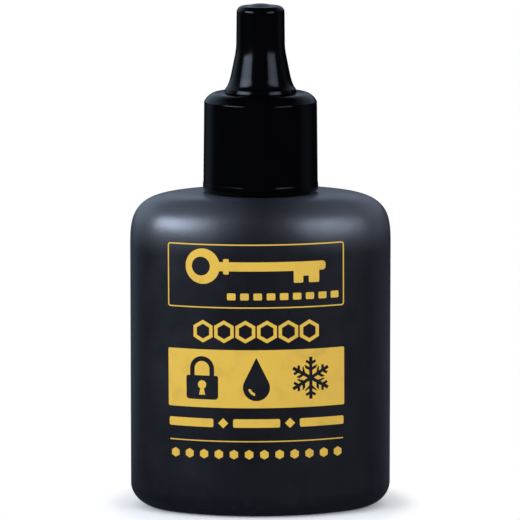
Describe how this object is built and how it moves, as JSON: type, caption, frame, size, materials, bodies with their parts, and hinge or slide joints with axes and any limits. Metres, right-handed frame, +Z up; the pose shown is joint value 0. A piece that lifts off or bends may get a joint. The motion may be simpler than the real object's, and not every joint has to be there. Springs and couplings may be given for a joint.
{
  "type": "lubricant dropper bottle",
  "caption": "Oval squeeze bottle for graphite lock fluid, with a screw closure that carries a dropper nozzle under a flared push-on cap.",
  "frame": {"origin": "middle of the bounding box at the plane that the foot stands on, on the neck's axis", "axes": "+Z up along the neck, the front with the print faces -Y, +X to the right of the front"},
  "size_m": [0.0458, 0.03, 0.0889],
  "materials": {
    "bottle_hdpe": "satin charcoal HDPE, blow moulded",
    "graphite_fluid": "dark grey fluid with a metallic graphite sheen",
    "gasket_foam": "off-white polyethylene foam, die cut",
    "closure_pp": "gloss black polypropylene, injection moulded",
    "nozzle_cap_pp": "gloss black polypropylene, injection moulded"
  },
  "bodies": {
    "bottle_body": {"bottle": "bottle_hdpe", "graphite_fluid": "graphite_fluid"},
    "gasket_body": {"closure_gasket": "gasket_foam"},
    "closure_body": {"screw_closure": "closure_pp"},
    "cap_body": {"nozzle_cap": "nozzle_cap_pp"}
  },
  "joints": [
    {"name": "closure_lift", "type": "slide", "parent": "bottle_body", "child": "gasket_body", "axis": [0, 0, 1], "range_m": [0, 0.006]},
    {"name": "closure_turn", "type": "hinge", "parent": "gasket_body", "child": "closure_body", "pos_m": [0, 0, 0.0625], "axis": [0, 0, 1], "range_deg": [0, 720]},
    {"name": "nozzle_cap_pull", "type": "slide", "parent": "closure_body", "child": "cap_body", "axis": [0, 0, 1], "range_m": [0, 0.016]}
  ],
  "couplings": [
    {"joint": "closure_lift", "follows": "closure_turn", "m_per_rad": 0.00047746}
  ]
}
